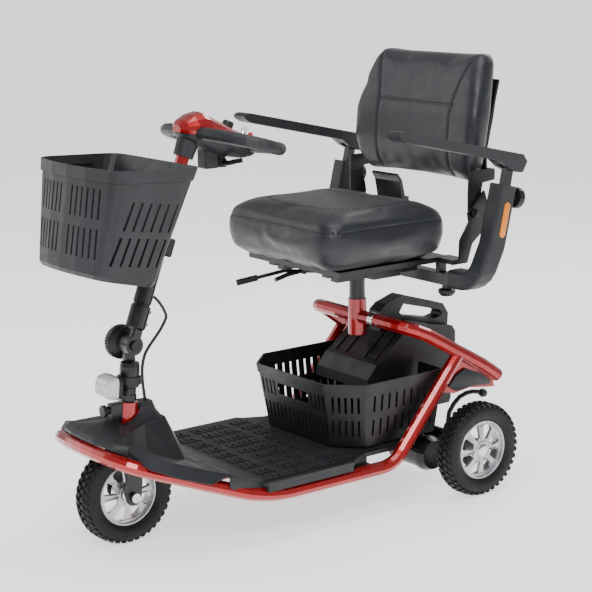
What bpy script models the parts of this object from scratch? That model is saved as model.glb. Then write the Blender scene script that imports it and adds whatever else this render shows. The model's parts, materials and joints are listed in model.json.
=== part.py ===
"""Three-wheel travel mobility scooter: frame, wheels, tiller, seat, baskets and battery pack.

Metres, +Z up, the floor at z = 0.  The rider faces -Y and the rider's left hand is at +X.
Lengths along Y are laid out from the middle of the wheelbase, and the whole scooter is moved
by CENTRE_SHIFT at the end, so that the origin is under the middle of its bounding box.
"""
import math

import bmesh
import bpy
from mathutils import Matrix, Vector

# ---------------------------------------------------------------- driving dimensions
GAP = 0.0003
CENTRE_SHIFT = 0.0059

WHEELBASE = 0.801
WHEEL_RADIUS = 0.110
WHEEL_WIDTH = 0.050
RIM_RADIUS = 0.069
REAR_TRACK = 0.496
FRONT_AXLE = Vector((0, -WHEELBASE / 2, WHEEL_RADIUS))
REAR_AXLE = Vector((0, WHEELBASE / 2, WHEEL_RADIUS))

RAIL_RADIUS = 0.0155
RAIL_X = 0.211
RAIL_Z = 0.1055
UPPER_RADIUS = 0.016
POST_RADIUS = 0.0185
POST_Y = 0.247
SLEEVE = (0.362, 0.447)

STEER_LEAN = math.radians(5.3)
TILLER_LEAN = math.radians(20.6)
PANEL_LEAN = math.radians(25.0)
ARM_LEAN = math.radians(12.6)
FOLD_PIVOT = Vector((0, -0.3715, 0.432))
BACK_PIVOT = Vector((0, 0.411, 0.655))
ARM_X = 0.281
ARM_PIVOT = Vector((ARM_X, 0.457, 0.770))
RECEIVER_Y = 0.365
RECEIVER_Z = 0.505

# colour, roughness, metallic
FINISHES = {
    "frame_red": ((0.55, 0.01, 0.02), 0.22, 0.5),
    "slate_plastic": ((0.075, 0.082, 0.092), 0.5, 0.0),
    "black_plastic": ((0.022, 0.023, 0.026), 0.5, 0.0),
    "black_metal": ((0.02, 0.02, 0.022), 0.4, 0.3),
    "deck_rubber": ((0.05, 0.053, 0.058), 0.7, 0.0),
    "tyre_rubber": ((0.018, 0.018, 0.02), 0.75, 0.0),
    "rim_silver": ((0.62, 0.63, 0.65), 0.35, 0.8),
    "vinyl": ((0.045, 0.048, 0.056), 0.45, 0.0),
    "bright_steel": ((0.7, 0.7, 0.7), 0.25, 1.0),
    "lamp_clear": ((0.85, 0.87, 0.9), 0.1, 0.1),
    "button_red": ((0.6, 0.02, 0.02), 0.4, 0.0),
}


# ---------------------------------------------------------------- scene and finishing
def clear_scene():
    for obj in list(bpy.data.objects):
        bpy.data.objects.remove(obj, do_unlink=True)


def finish_of(name):
    found = bpy.data.materials.get(name)
    if found:
        return found
    colour, roughness, metallic = FINISHES[name]
    made = bpy.data.materials.new(name)
    made.use_nodes = True
    shader = made.node_tree.nodes["Principled BSDF"]
    shader.inputs["Base Color"].default_value = (*colour, 1)
    shader.inputs["Roughness"].default_value = roughness
    shader.inputs["Metallic"].default_value = metallic
    return made


def part(obj, name, finish, origin=(0, 0, 0), frame=None):
    """Name a finished solid, and set its origin; frame is the leaning frame it was drawn in."""
    origin = Vector(origin)
    obj.data.transform(Matrix.Translation(-origin))
    obj.matrix_world = (frame or Matrix()) @ Matrix.Translation(origin)
    obj.name = name
    obj.data.name = name
    obj.data.materials.clear()
    obj.data.materials.append(finish_of(finish))
    obj.data.shade_smooth()
    obj.data.set_sharp_from_angle(angle=math.radians(35))
    for old in list(obj.users_collection):
        old.objects.unlink(obj)
    SCOOTER.objects.link(obj)
    return obj


def from_bmesh(bm, name="shape"):
    bmesh.ops.recalc_face_normals(bm, faces=bm.faces)
    mesh = bpy.data.meshes.new(name)
    bm.to_mesh(mesh)
    bm.free()
    obj = bpy.data.objects.new(name, mesh)
    bpy.context.scene.collection.objects.link(obj)
    return obj


def baked(obj):
    """The mesh that an object's curve or modifiers make, as a new object, with its caps welded."""
    bpy.context.view_layer.update()
    graph = bpy.context.evaluated_depsgraph_get()
    mesh = bpy.data.meshes.new_from_object(obj.evaluated_get(graph))
    mesh.transform(obj.matrix_world)
    bpy.data.objects.remove(obj, do_unlink=True)
    bm = bmesh.new()
    bm.from_mesh(mesh)
    bmesh.ops.remove_doubles(bm, verts=bm.verts, dist=1e-5)
    bpy.data.meshes.remove(mesh)
    return from_bmesh(bm)


def boolean(target, others, operation):
    for other in others:
        modifier = target.modifiers.new(operation, "BOOLEAN")
        modifier.operation = operation
        modifier.object = other
        modifier.solver = "EXACT"
    result = baked(target)
    for other in others:
        bpy.data.objects.remove(other, do_unlink=True)
    return result


def union(target, *others):
    return boolean(target, others, "UNION")


def cut(target, *others):
    return boolean(target, others, "DIFFERENCE")


# ---------------------------------------------------------------- shapes
def axis_matrix(axis):
    return Vector((0, 0, 1)).rotation_difference(Vector(axis)).to_matrix().to_4x4()


def cylinder(radius, start, end, sides=24, radius_end=None):
    start, end = Vector(start), Vector(end)
    bm = bmesh.new()
    place = Matrix.Translation((start + end) / 2) @ axis_matrix(end - start)
    bmesh.ops.create_cone(
        bm, cap_ends=True, segments=sides, radius1=radius,
        radius2=radius if radius_end is None else radius_end,
        depth=(end - start).length, matrix=place,
    )
    return from_bmesh(bm)


def box(low, high, bevel=0.0, segments=1):
    low, high = Vector(low), Vector(high)
    bm = bmesh.new()
    size = high - low
    bmesh.ops.create_cube(bm, size=1, matrix=Matrix.Translation((low + high) / 2) @ Matrix.Diagonal((*size,
                                                                                                     1)))
    if bevel:
        bmesh.ops.bevel(bm, geom=bm.edges, offset=bevel, segments=segments, affect="EDGES", profile=0.5)
    return from_bmesh(bm)


def lathe(profile, centre, axis, steps=32):
    """Turn a closed profile of (radius, height) points; a radius of 0 lies on the axis."""
    mesh = bpy.data.meshes.new("profile")
    points = [(r, 0, z) for r, z in profile]
    edges = [(i, i + 1) for i in range(len(points) - 1)]
    if profile[0][0] > 0:
        edges.append((len(points) - 1, 0))
    mesh.from_pydata(points, edges, [])
    obj = bpy.data.objects.new("profile", mesh)
    bpy.context.scene.collection.objects.link(obj)
    obj.matrix_world = Matrix.Translation(centre) @ axis_matrix(axis)
    screw = obj.modifiers.new("turn", "SCREW")
    screw.steps = screw.render_steps = steps
    screw.use_merge_vertices = True
    screw.merge_threshold = 0.00001
    return baked(obj)


def outline(points, thickness, frame):
    """A flat plate: points are (u, v) in the frame's XY plane, thickness is centred on it."""
    curve = bpy.data.curves.new("outline", "CURVE")
    curve.dimensions = "2D"
    curve.fill_mode = "BOTH"
    curve.extrude = thickness / 2
    spline = curve.splines.new("POLY")
    spline.points.add(len(points) - 1)
    for place, (u, v) in zip(spline.points, points):
        place.co = (u, v, 0, 1)
    spline.use_cyclic_u = True
    obj = bpy.data.objects.new("outline", curve)
    bpy.context.scene.collection.objects.link(obj)
    obj.matrix_world = frame
    return baked(obj)


def side_frame(x):
    """A frame whose XY plane is the scooter's YZ plane at this x."""
    return Matrix.Translation((x, 0, 0)) @ Matrix(((0, 0, 1, 0), (1, 0, 0, 0), (0, 1, 0, 0), (0, 0, 0, 1)))


def flat_frame(z):
    return Matrix.Translation((0, 0, z))


def rounded_path(corners, steps=5):
    """Points of a bent tube: corners are (point, bend radius), the first and last are its ends."""
    path = [Vector(corners[0][0])]
    for before, (corner, radius), after in zip(corners, corners[1:], corners[2:]):
        corner = Vector(corner)
        into = (corner - Vector(before[0])).normalized()
        out = (Vector(after[0]) - corner).normalized()
        half = into.angle(out) / 2
        if radius == 0 or half < 0.01:
            path.append(corner)
            continue
        middle = (out - into).normalized()
        centre = corner + middle * radius / math.cos(half)
        for k in range(steps + 1):
            turn = -half + 2 * half * k / steps
            tangent = (into + out).normalized()
            path.append(centre - middle * radius * math.cos(turn) + tangent * radius * math.sin(turn))
    path.append(Vector(corners[-1][0]))
    return path


def smooth_path(points, steps):
    """A Catmull-Rom curve through the points."""
    points = [Vector(p) for p in points]
    ends = [2 * points[0] - points[1]] + points + [2 * points[-1] - points[-2]]
    path = []
    for a, b, c, d in zip(ends, ends[1:], ends[2:], ends[3:]):
        for k in range(steps):
            t = k / steps
            path.append(0.5 * (2 * b + (c - a) * t + (2 * a - 5 * b + 4 * c - d) * t * t
                               + (3 * b - a - 3 * c + d) * t ** 3))
    path.append(points[-1])
    return path


def tube(path, radius, resolution=3, cyclic=False):
    curve = bpy.data.curves.new("tube", "CURVE")
    curve.dimensions = "3D"
    curve.bevel_depth = radius
    curve.bevel_resolution = resolution
    curve.use_fill_caps = not cyclic
    spline = curve.splines.new("POLY")
    spline.points.add(len(path) - 1)
    for place, point in zip(spline.points, path):
        place.co = (*point, 1)
    spline.use_cyclic_u = cyclic
    obj = bpy.data.objects.new("tube", curve)
    bpy.context.scene.collection.objects.link(obj)
    return baked(obj)


def loft(sections):
    """A closed solid through loops of equal length, capped at both ends."""
    bm = bmesh.new()
    rings = [[bm.verts.new(p) for p in section] for section in sections]
    for a, b in zip(rings, rings[1:]):
        for i in range(len(a)):
            j = (i + 1) % len(a)
            bm.faces.new((a[i], a[j], b[j], b[i]))
    bm.faces.new(rings[0][::-1])
    bm.faces.new(rings[-1])
    return from_bmesh(bm)


def rounded_rectangle(half_u, half_v, radius, steps=3):
    """A loop of (u, v) points, its corners rounded."""
    loop = []
    for quarter, (su, sv) in enumerate(((1, 1), (-1, 1), (-1, -1), (1, -1))):
        for k in range(steps + 1):
            angle = math.pi / 2 * (quarter + k / steps)
            loop.append((su * (half_u - radius) + radius * math.cos(angle),
                         sv * (half_v - radius) + radius * math.sin(angle)))
    return loop


def sweep(path, half_u, half_v, radius, side=(1, 0, 0)):
    """A rounded bar along a path: half_u is across, towards side, half_v is the other way."""
    sections = []
    for k, point in enumerate(path):
        along = (path[min(k + 1, len(path) - 1)] - path[max(k - 1, 0)]).normalized()
        other = along.cross(Vector(side)).normalized()
        across = other.cross(along).normalized()
        sections.append([point + across * u + other * v for u,
                         v in rounded_rectangle(half_u, half_v, radius, 2)])
    return loft(sections)


def bowed_loop(half_x, front, back, radius, bow):
    """A rounded rectangle as (x, y) points whose front side bulges forward by bow."""
    half_y = (back - front) / 2
    flat = rounded_rectangle(half_x, half_y, radius, 3)
    flat[12:12] = [(share * (half_x - radius), -half_y) for share in (-0.5, 0, 0.5)]
    loop = []
    for u, v in flat:
        swell = bow * (1 - (u / half_x) ** 2) * max(0.0, -v / half_y)
        loop.append((u, (front + back) / 2 + v - swell))
    return loop


def mirrored(path):
    """A path from the +X side, closed across the middle with its mirror image."""
    other = [Vector((-p.x, p.y, p.z)) for p in reversed(path)]
    return path + (other[1:] if path[-1].x == 0 else other)


def leaning(angle, origin):
    return Matrix.Translation(origin) @ Matrix.Rotation(-angle, 4, "X")


STEER = leaning(STEER_LEAN, FRONT_AXLE)
TILLER = leaning(TILLER_LEAN, FOLD_PIVOT)
ARM = leaning(ARM_LEAN, ARM_PIVOT)


# ---------------------------------------------------------------- frame
def rail_path():
    half = [
        ((RAIL_X, 0.3705, 0.3288), 0),
        ((RAIL_X, 0.178, RAIL_Z), 0.075),
        ((RAIL_X, -0.175, RAIL_Z), 0.35),
        ((0.156, -0.473, 0.2190), 0.085),
    ]
    other = [((-p[0], p[1], p[2]), r) for p, r in reversed(half)]
    return rounded_path(half + [((0, -0.5100, 0.2355), 0.36)] + other)


def upper_path():
    half = [
        (0.2195, 0.4885, 0.2640), (0.2195, 0.4370, 0.2990), (0.2100, 0.3620, 0.3430),
        (0.1900, 0.2980, 0.3830),
        (0.1650, 0.2600, 0.4000), (0.1350, 0.2470, 0.4050), (0.0900, 0.2465, 0.4055),
        (0.0450, 0.2468, 0.4050),
        (0, POST_Y, 0.4045),
    ]
    return mirrored(smooth_path(half, 2))


def lower_frame():
    """Rail round the nose, bent up at the back into two struts, with a gusset on each."""
    frame = tube(rail_path(), RAIL_RADIUS)
    gusset = [
        (0.3120, 0.2520), (0.3450, 0.2950), (0.3750, 0.3250), (0.4400, 0.2900), (0.4800, 0.2600),
        (0.4860, 0.2360),
        (0.4580, 0.2390), (0.4070, 0.2470), (0.3600, 0.2410),
    ]
    plates = [outline(gusset, 0.005, side_frame(s * RAIL_X)) for s in (1, -1)]
    saddle = tube(upper_path(), UPPER_RADIUS + 2 * GAP)
    part(cut(union(frame, *plates), saddle), "lower_frame", "frame_red")


def upper_frame():
    """U-shaped upper tube round the battery, welded to the seat post sleeve at its front."""
    frame = tube(upper_path(), UPPER_RADIUS)
    low, high = SLEEVE
    sleeve = cylinder(0.0215, (0, POST_Y, low), (0, POST_Y, high), 28)
    bore = cylinder(POST_RADIUS + 0.0004, (0, POST_Y, low - 0.02), (0, POST_Y, high + 0.02), 28)
    part(cut(union(frame, sleeve), bore), "upper_frame", "frame_red")


def spine(grow=0.0):
    path = rounded_path([
        ((0, 0.272, 0.102), 0), ((0, -0.215, 0.102), 0.03), ((0, -0.272, 0.165), 0.05),
        ((0, -0.310, 0.235), 0.05),
        ((0, -0.372, 0.284), 0),
    ], 3)
    return sweep(path, 0.020 + grow, 0.0115 + grow, 0.003)


def frame_beam():
    """Spine under the deck, rising behind the front wheel to the steering head tube."""
    cross = [box((-0.1950, y - 0.012, 0.093), (0.1950, y + 0.012, 0.112)) for y in (-0.070, 0.120)]
    head = cylinder(0.0210, STEER @ Vector((0, 0, 0.1435)), STEER @ Vector((0, 0, 0.2005)), 24)
    bore = cylinder(0.0133, STEER @ Vector((0, 0, 0.12)), STEER @ Vector((0, 0, 0.22)), 24)
    part(cut(union(spine(), head, *cross), bore), "frame_beam", "frame_red")


def steering_lock():
    """Spring pin in a bracket on the front of the head tube, which holds the steering straight."""
    block = cut(
        box((-0.010, -0.4290, 0.2680), (0.010, -0.3950, 0.3115), 0.0015),
        cylinder(0.0216, STEER @ Vector((0, 0, 0.12)), STEER @ Vector((0, 0, 0.22)), 32),
        cylinder(0.0065, (0, -0.46, 0.2980), (0, -0.39, 0.2980), 20),
    )
    part(block, "lock_bracket", "black_metal")
    root = (0, -0.4120, 0.2980)
    knob = lathe([(0, 0), (0.0060, 0), (0.0060, 0.0173), (0.0085, 0.0175), (0.0085, 0.0260),
                  (0.0135, 0.0270),
                  (0.0135, 0.0340), (0.0120, 0.0350), (0, 0.0350)], root, (0, -1, 0), 20)
    part(knob, "steering_lock_pin", "black_plastic", root)


def deck():
    """Floor pan with thick edges over the rails, and the rubber mat on it."""
    half = [(0.193, 0.258), (0.193, 0.110), (0.215, 0.064), (0.228, 0.052), (0.228, -0.180),
            (0.212, -0.186)]
    plan = half + [(-x, y) for x, y in reversed(half)]
    pan = outline(plan, 0.009, flat_frame(0.1375))
    edges = [box((min(s * 0.195, s * 0.2275), -0.1800, 0.1216),
                 (max(s * 0.195, s * 0.2275), 0.0500, 0.1360)) for s in (1, -1)]
    rail = tube(rail_path(), RAIL_RADIUS + 2 * GAP)
    part(cut(union(pan, *edges), rail), "deck_pan", "slate_plastic")
    half = [(0.184, 0.253), (0.184, 0.106), (0.206, 0.060), (0.212, 0.048), (0.212, -0.176),
            (0.206, -0.181)]
    mat = half + [(-x, y) for x, y in reversed(half)]
    part(outline(mat, 0.0046, flat_frame(0.1446)), "deck_mat", "deck_rubber")


def nose_sections():
    """Half sections that fan out from the nose tip: lower edge, upper edge, ramp, foot, ridge and middle."""
    return [
        ((0, -0.5005, 0.2500), (0, -0.5000, 0.2550), (0, -0.493, 0.2605), (0, -0.484, 0.2650),
         (0, -0.475, 0.2690),
         (0, -0.462, 0.2725)),
        ((0.0455, -0.4975, 0.2485), (0.0455, -0.4970, 0.2535), (0.044, -0.490, 0.2585),
         (0.042, -0.481, 0.2625),
         (0.038, -0.471, 0.2665), (0, -0.440, 0.2755)),
        ((0.1000, -0.4830, 0.2430), (0.1000, -0.4825, 0.2475), (0.099, -0.479, 0.2510),
         (0.098, -0.4755, 0.2540),
         (0.096, -0.470, 0.2570), (0, -0.425, 0.2760)),
        ((0.1210, -0.4560, 0.2300), (0.1185, -0.4560, 0.2430), (0.1165, -0.4555, 0.2470),
         (0.1140, -0.4550, 0.2500),
         (0.0920, -0.4560, 0.2595), (0, -0.408, 0.2755)),
        ((0.1850, -0.4470, 0.2160), (0.1700, -0.4410, 0.2390), (0.150, -0.446, 0.2430),
         (0.126, -0.445, 0.2490),
         (0.085, -0.440, 0.2620), (0, -0.392, 0.2740)),
        ((0.1940, -0.4150, 0.2020), (0.1850, -0.4100, 0.2280), (0.158, -0.415, 0.2310),
         (0.128, -0.418, 0.2360),
         (0.073, -0.415, 0.2655), (0, -0.372, 0.2720)),
        ((0.2000, -0.3850, 0.1880), (0.1900, -0.3780, 0.2140), (0.158, -0.380, 0.2160),
         (0.125, -0.380, 0.2165),
         (0.055, -0.378, 0.2700), (0, -0.350, 0.2700)),
        ((0.2080, -0.3500, 0.1760), (0.1955, -0.3400, 0.2000), (0.155, -0.338, 0.2010),
         (0.113, -0.340, 0.1980),
         (0.033, -0.336, 0.2700), (0, -0.322, 0.2650)),
        ((0.2150, -0.3170, 0.1650), (0.2000, -0.3060, 0.1870), (0.150, -0.304, 0.1885),
         (0.095, -0.306, 0.1870),
         (0.018, -0.303, 0.2650), (0, -0.298, 0.2630)),
        ((0.2080, -0.2750, 0.1705), (0.2060, -0.2720, 0.1760), (0.140, -0.270, 0.1775),
         (0.060, -0.280, 0.1830),
         (0.022, -0.270, 0.1960), (0, -0.269, 0.2100)),
        ((0.2110, -0.2430, 0.1590), (0.2100, -0.2430, 0.1650), (0.140, -0.243, 0.1650),
         (0.060, -0.243, 0.1650),
         (0.025, -0.243, 0.1650), (0, -0.243, 0.1655)),
        ((0.2110, -0.1875, 0.1435), (0.2100, -0.1875, 0.1490), (0.140, -0.1875, 0.1490),
         (0.060, -0.1875, 0.1490),
         (0.025, -0.1875, 0.1490), (0, -0.1875, 0.1490)),
    ]


def nose_fairing():
    """Moulded nose over the front wheel, ramping down to the deck, with an opening for the steering."""
    bm = bmesh.new()
    for s in (1, -1):
        rows = [[bm.verts.new((s * x, y, z)) for x, y, z in row] for row in nose_sections()]
        for a, b in zip(rows, rows[1:]):
            for i in range(len(a) - 1):
                bm.faces.new((a[i], b[i], b[i + 1], a[i + 1]))
    bmesh.ops.remove_doubles(bm, verts=bm.verts, dist=1e-5)
    shell = from_bmesh(bm)
    solid = shell.modifiers.new("thickness", "SOLIDIFY")
    solid.thickness = 0.003
    solid.offset = 0
    opening = loft([shroud_plan(z, 0, 0.0014) for z in (0.20, 0.30)])
    slot = box((-0.0125, -0.4365, 0.20), (0.0125, -0.4000, 0.30))
    rail = tube(rail_path(), RAIL_RADIUS + 2 * GAP)
    part(cut(baked(shell), opening, slot, rail), "nose_fairing", "slate_plastic")


def shroud_plan(z, share, grow=0.0):
    """Outline of the pylon at height z; share runs from 0 at its foot to 1 at its top."""
    foot = [(0.036, -0.417), (0.045, -0.405), (0.043, -0.370), (0.028, -0.318), (0.014, -0.301)]
    top = [(0.014, -0.3555), (0.020, -0.3500), (0.020, -0.3440), (0.018, -0.3340), (0.010, -0.3280)]
    middle = -0.360
    half = []
    for (fx, fy), (tx, ty) in zip(foot, top):
        y = fy + (ty - fy) * share
        half.append((fx + (tx - fx) * share + grow, y + (grow if y > middle else -grow)))
    return [(x, y, z) for x, y in half] + [(-x, y, z) for x, y in reversed(half)]


def tiller_shroud():
    """Pylon behind the steering column, open in front of the head tube."""
    levels = ((0.2565, 0), (0.2620, 0), (0.2720, 0.35), (0.2850, 0.72), (0.3050, 1))
    column = cylinder(0.0240, STEER @ Vector((0, 0, 0.08)), STEER @ Vector((0, 0, 0.26)), 28)
    part(cut(loft([shroud_plan(z, share) for z, share in levels]), column, spine(0.0006)), "tiller_shroud",
         "slate_plastic")


# ---------------------------------------------------------------- drive and battery
def drive():
    """Transaxle with axle tubes, and the motor beside it."""
    y, z = REAR_AXLE.y, REAR_AXLE.z
    case = box((-0.050, y - 0.058, 0.056), (0.050, y + 0.048, 0.160), 0.010)
    tubes = cylinder(0.020, (-0.2005, y, z), (0.2005, y, z), 24)
    flange = [cylinder(0.033, (s * 0.184, y, z), (s * 0.193, y, z), 24) for s in (1, -1)]
    part(union(case, tubes, *flange), "transaxle", "black_metal", REAR_AXLE)
    motor = lathe([(0, 0), (0.030, 0), (0.038, 0.006), (0.038, 0.100), (0.041, 0.101), (0.041, 0.112),
                   (0.034, 0.130), (0, 0.130)], (0.0515, 0.3285, 0.0915), (1, 0, 0), 28)
    part(motor, "drive_motor", "black_metal", (0.0515, 0.3285, 0.0915))


def freewheel_lever():
    path = smooth_path([(0.1650, 0.3860, 0.1420), (0.1655, 0.3880, 0.1800), (0.1720, 0.4150, 0.2140),
                        (0.1800, 0.4480, 0.2230), (0.1850, 0.4760, 0.2160)], 2)
    eye = cylinder(0.0100, (0.1580, 0.3860, 0.1420), (0.1720, 0.3860, 0.1420), 16)
    knob = lathe([(0, -0.010), (0.008, -0.008), (0.011, 0), (0.008, 0.008), (0, 0.010)],
                 (0.185, 0.476, 0.216), (1, 0, 0), 16)
    part(union(tube(path, 0.0055, 1), eye, knob), "freewheel_lever", "black_plastic", (0.165, 0.386, 0.142))


def anti_tip():
    """Bar on the transaxle that carries two small wheels behind the rear axle."""
    half = [((0.128, 0.500, 0.0360), 0), ((0.100, 0.500, 0.0360), 0.010), ((0.100, 0.4620, 0.0900), 0.015)]
    other = [((-p[0], p[1], p[2]), r) for p, r in reversed(half)]
    bar = tube(rounded_path(half + other, 3), 0.0065, 2)
    tab = box((-0.020, 0.4490, 0.0830), (0.020, 0.4680, 0.0970))
    part(union(bar, tab), "anti_tip_bar", "black_metal")
    for side, s in (("left", 1), ("right", -1)):
        centre = (s * 0.1190, 0.500, 0.036)
        wheel = lathe([(0.0070, -0.008), (0.0200, -0.008), (0.0220, -0.005), (0.0220, 0.005),
                       (0.0200, 0.008), (0.0070, 0.008)],
                      centre, (1, 0, 0), 16)
        part(wheel, f"anti_tip_wheel_{side}", "tyre_rubber", centre)


def battery_pack():
    """Lift-out battery: a stepped case whose nose rests over the rear basket, with a carrying handle."""
    case_side = [(0.3620, 0.1780), (0.4520, 0.1780), (0.4570, 0.1900), (0.4570, 0.3450), (0.4400, 0.3620),
                 (0.3700, 0.3820),
                 (0.3250, 0.3820), (0.2850, 0.3500), (0.2430, 0.3150), (0.2270, 0.3060), (0.2000, 0.2750),
                 (0.1960, 0.2520),
                 (0.2320, 0.2620), (0.3620, 0.2620)]
    case = outline(case_side, 0.190, side_frame(0))
    back = outline([(0.4500, 0.1900), (0.5100, 0.1900), (0.5160, 0.2000), (0.5160, 0.3350),
                    (0.5060, 0.3500), (0.4300, 0.3640)],
                   0.090, side_frame(0))
    handle = outline([(0.3000, 0.3600), (0.2990, 0.4090), (0.3180, 0.4240), (0.3700, 0.4400),
                      (0.4980, 0.4020), (0.5150, 0.3760),
                      (0.5120, 0.3300)], 0.040, side_frame(0))
    grip = outline([(0.3720, 0.4180), (0.3600, 0.4000), (0.3660, 0.3900), (0.4700, 0.3680),
                    (0.4920, 0.3720), (0.4960, 0.3800),
                    (0.4860, 0.3880)], 0.08, side_frame(0))
    part(cut(union(case, back, handle), grip), "battery_pack", "black_plastic")


# ---------------------------------------------------------------- baskets
def slots(rows, place, size):
    """Cutters for slots: rows of (u, v) centres, put on a wall by place, size is (width, height, depth)."""
    bm = bmesh.new()
    for u, v in rows:
        bmesh.ops.create_cube(
            bm, size=1, matrix=place @ Matrix.Translation((u, v, 0)) @ Matrix.Diagonal((*size, 1)))
    return from_bmesh(bm)


def rear_basket():
    """Open basket under the seat, its front corners chamfered, its back wall cut down for the battery."""
    low, rim = 0.1480, 0.298

    def plan(z, inset):
        share = (min(z, rim) - low) / (rim - low)
        mix = lambda a, b: a + (b - a) * share
        x, chamfer, front = (
            mix(0.178, 0.194) - inset, mix(0.119, 0.128) - inset * 0.6, mix(0.069, 0.044) + inset)
        side, back = mix(0.126, 0.112) + inset * 0.4, mix(0.335, 0.349) - inset
        return [(-chamfer, front, z), (chamfer, front, z), (x, side, z), (x, back, z), (-x, back, z),
                (-x, side, z)]

    outer = loft([plan(low, 0.003), plan(rim - 0.022, 0.003), plan(rim - 0.021, 0.0005), plan(rim, 0)])
    inner = loft([plan(low + 0.003, 0.0058), plan(rim + 0.01, 0.0032)])
    notch = box((-0.105, 0.300, 0.2560), (0.105, 0.40, 0.40))
    basket = cut(outer, inner, notch)
    turn = Matrix.Rotation(math.radians(90), 4, "X")
    columns = [s * (0.070 + 0.0145 * i) for s in (1, -1) for i in range(4)]
    wide = [s * (0.008 + 0.0155 * i) for s in (1, -1) for i in range(4)]
    rows = [(u, 0.248) for u in columns] + [(u, 0.192) for u in columns + wide]
    front = slots(rows, Matrix.Translation((0, 0.055, 0)) @ turn, (0.0055, 0.038, 0.05))
    hold = box((-0.058, 0.02, 0.236), (0.058, 0.09, 0.264), 0.006)
    corners = []
    for s in (1, -1):
        wall = (Matrix.Translation((s * 0.157, 0.084, 0))
                @ Matrix.Rotation(s * math.radians(45), 4, "Z") @ turn)
        corners.append(slots([(0.0145 * (i - 2), v) for v in (0.248, 0.192) for i in range(5)], wall,
                             (0.0055, 0.038, 0.04)))
    side_turn = Matrix.Rotation(math.radians(90), 4, "Z") @ turn
    rows = [(0.145 + 0.0215 * i, v) for v in (0.248, 0.192) for i in range(9)]
    sides = slots(rows, side_turn, (0.006, 0.038, 0.50))
    part(cut(basket, front, hold, *corners, sides), "rear_basket", "black_plastic")


def front_basket():
    """Tapered basket on the tiller, drawn in the tiller's frame; its rim is level when it hangs there."""
    def section(share, inset=0.0, lift=0.0):
        mix = lambda a, b: a + (b - a) * share
        front, back = mix(-0.1950, -0.2402) + inset, mix(-0.0592, -0.0558) - inset
        low_front, low_back = mix(0.1138, 0.3306) + lift, mix(0.1306, 0.3914) + lift
        slope = (low_back - low_front) / (back - front + 2 * inset)
        plan = bowed_loop(mix(0.140, 0.171) - inset, front, back, max(0.030 - inset, 0.008), 0.024)
        return [(u, v, low_front + slope * (v - front + inset)) for u, v in plan]

    outer = loft([section(0, 0.007), section(0.04, 0.0025), section(0.885, 0.0035), section(0.89),
                  section(1)])
    inner = loft([section(0, 0.010, 0.004), section(0.89, 0.0065), section(1, 0.0035, 0.006)])
    basket = cut(outer, inner)
    tilt = math.atan2(0.0452, 0.2168)
    wall = Matrix.Translation((0, -0.2100, 0.1110)) @ Matrix.Rotation(math.radians(90) + tilt, 4, "X")
    gaps = [s * (0.022 + 0.0180 * i) for s in (1, -1) for i in range(6)]
    front = slots([(u, v) for v in (0.150, 0.070) for u in gaps], wall, (0.0055, 0.060, 0.045))
    side_turn = Matrix.Rotation(math.radians(90), 4, "Z") @ Matrix.Rotation(math.radians(90), 4, "X")
    rows = [(-0.186 + 0.0205 * i, v + 0.0045 * i) for v in (0.252, 0.178) for i in range(6)]
    sides = slots(rows, side_turn, (0.0055, 0.060, 0.40))
    part(cut(basket, front, sides), "front_basket", "slate_plastic", frame=TILLER)

    pivot_y, pivot_z = -0.1180, 0.3520
    half = [((0.1610, pivot_y, pivot_z), 0), ((0.1530, pivot_y, pivot_z), 0.004),
            ((0.1500, -0.1900, 0.3285), 0.025),
            ((0.1250, -0.2050, 0.3235), 0.02)]
    other = [((-p[0], p[1], p[2]), r) for p, r in reversed(half)]
    bail = tube(rounded_path(half + other, 3), 0.0028, 1)
    part(bail, "basket_handle", "black_plastic", (0, pivot_y, pivot_z), TILLER)


# ---------------------------------------------------------------- steering and tiller
def fork():
    crown = box((-0.0420, -0.0220, 0.1160), (0.0420, 0.0220, 0.1270), 0.002)
    legs = []
    for s in (1, -1):
        shape = [(0.020, 0.122), (-0.020, 0.122), (-0.019, 0)]
        shape += [(-0.019 * math.cos(math.pi * k / 8), -0.019 * math.sin(math.pi * k / 8)) for k in range(1, 8)]
        shape += [(0.019, 0)]
        legs.append(outline(shape, 0.0055, side_frame(s * 0.0392)))
    steerer = cylinder(0.0128, (0, 0, 0.122), (0, 0, 0.2450), 24)
    holes = cylinder(0.0064, (-0.06, 0, 0), (0.06, 0, 0), 16)
    part(cut(union(crown, steerer, *legs), holes), "fork", "black_metal", frame=STEER)
    axle = lathe([(0, -0.0520), (0.0105, -0.0520), (0.0105, -0.0440), (0.0060, -0.0435), (0.0060, 0.0435),
                  (0.0105, 0.0440),
                  (0.0105, 0.0520), (0, 0.0520)], FRONT_AXLE, (1, 0, 0), 16)
    part(axle, "front_axle", "bright_steel", FRONT_AXLE)


def lower_coupling():
    """Sleeve clamped on the steerer, with the lower half of the folding joint on its top."""
    sleeve = lathe([(0.0132, 0.2040), (0.0175, 0.2040), (0.0175, 0.2160), (0.0160, 0.2190),
                    (0.0160, 0.2310), (0.0215, 0.2340),
                    (0.0215, 0.2770), (0.0200, 0.2860), (0.0100, 0.2890), (0, 0.2890), (0, 0.2475),
                    (0.0132, 0.2475)][::-1],
                   (0, 0, 0), (0, 0, 1), 20)
    place = STEER.inverted() @ FOLD_PIVOT
    eye = cylinder(0.0210, place + Vector((-0.0160, 0, 0)), place + Vector((0.0004, 0, 0)), 28)
    neck = loft([[(-0.0078 + u, y + v, z) for u, v in rounded_rectangle(0.0080, 0.0125, 0.003, 2)]
                 for y, z in ((0.0030, 0.2820), (place.y, place.z - 0.010))])
    bolt = cylinder(0.0058, place + Vector((-0.05, 0, 0)), place + Vector((0.05, 0, 0)), 16)
    part(cut(union(sleeve, neck, eye), bolt), "lower_coupling", "black_metal", frame=STEER)


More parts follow.
